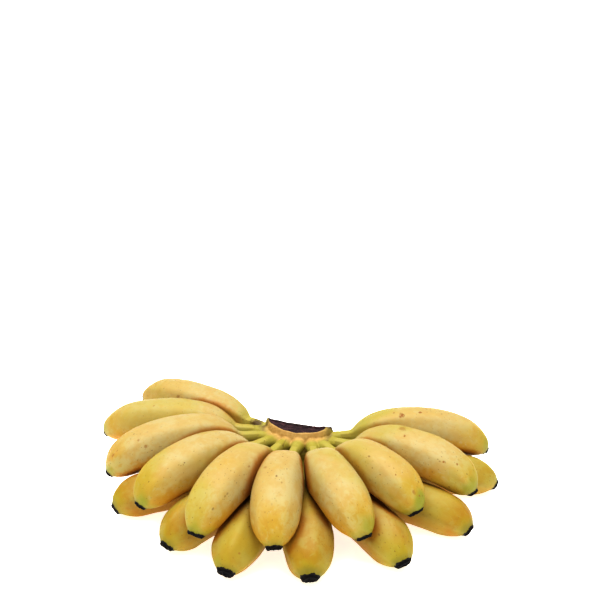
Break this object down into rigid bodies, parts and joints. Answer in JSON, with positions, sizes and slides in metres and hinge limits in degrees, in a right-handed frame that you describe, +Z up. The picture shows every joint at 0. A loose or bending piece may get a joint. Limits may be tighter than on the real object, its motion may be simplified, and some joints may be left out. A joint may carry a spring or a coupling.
{
  "type": "hand of bananas",
  "caption": "Hand of small ripe dessert bananas: curved rows of fruits fanned from one cut crown, lying flat on its lower fruits.",
  "frame": {"origin": "on the surface the hand lies on, below the middle of its outline seen from above", "axes": "+Z up, -Y from the crown towards the middle of the fan of fruits, +X to the right of the fan seen from its front"},
  "size_m": [0.3093, 0.1934, 0.0641],
  "materials": {
    "banana_peel": "waxy satin peel, golden yellow with green ends and small brown flecks",
    "dried_blossom": "dry, almost black",
    "crown_rind": "tan to green rind with a dark dried cut face"
  },
  "bodies": {
    "root": {"crown": "crown_rind", "banana_upper_01": "banana_peel", "banana_upper_02": "banana_peel", "banana_upper_03": "banana_peel", "banana_upper_04": "banana_peel", "banana_upper_05": "banana_peel", "banana_upper_06": "banana_peel", "banana_upper_07": "banana_peel", "banana_upper_08": "banana_peel", "banana_upper_09": "banana_peel", "banana_upper_10": "banana_peel", "banana_lower_01": "banana_peel", "banana_lower_02": "banana_peel", "banana_lower_03": "banana_peel", "banana_lower_04": "banana_peel", "banana_lower_05": "banana_peel", "banana_lower_06": "banana_peel", "banana_lower_07": "banana_peel", "banana_lower_08": "banana_peel", "banana_lower_09": "banana_peel", "tip_upper_01": "dried_blossom", "tip_upper_02": "dried_blossom", "tip_upper_03": "dried_blossom", "tip_upper_04": "dried_blossom", "tip_upper_05": "dried_blossom", "tip_upper_06": "dried_blossom", "tip_upper_07": "dried_blossom", "tip_upper_08": "dried_blossom", "tip_upper_09": "dried_blossom", "tip_upper_10": "dried_blossom", "tip_lower_01": "dried_blossom", "tip_lower_02": "dried_blossom", "tip_lower_03": "dried_blossom", "tip_lower_04": "dried_blossom", "tip_lower_05": "dried_blossom", "tip_lower_06": "dried_blossom", "tip_lower_07": "dried_blossom", "tip_lower_08": "dried_blossom", "tip_lower_09": "dried_blossom"}
  },
  "joints": []
}
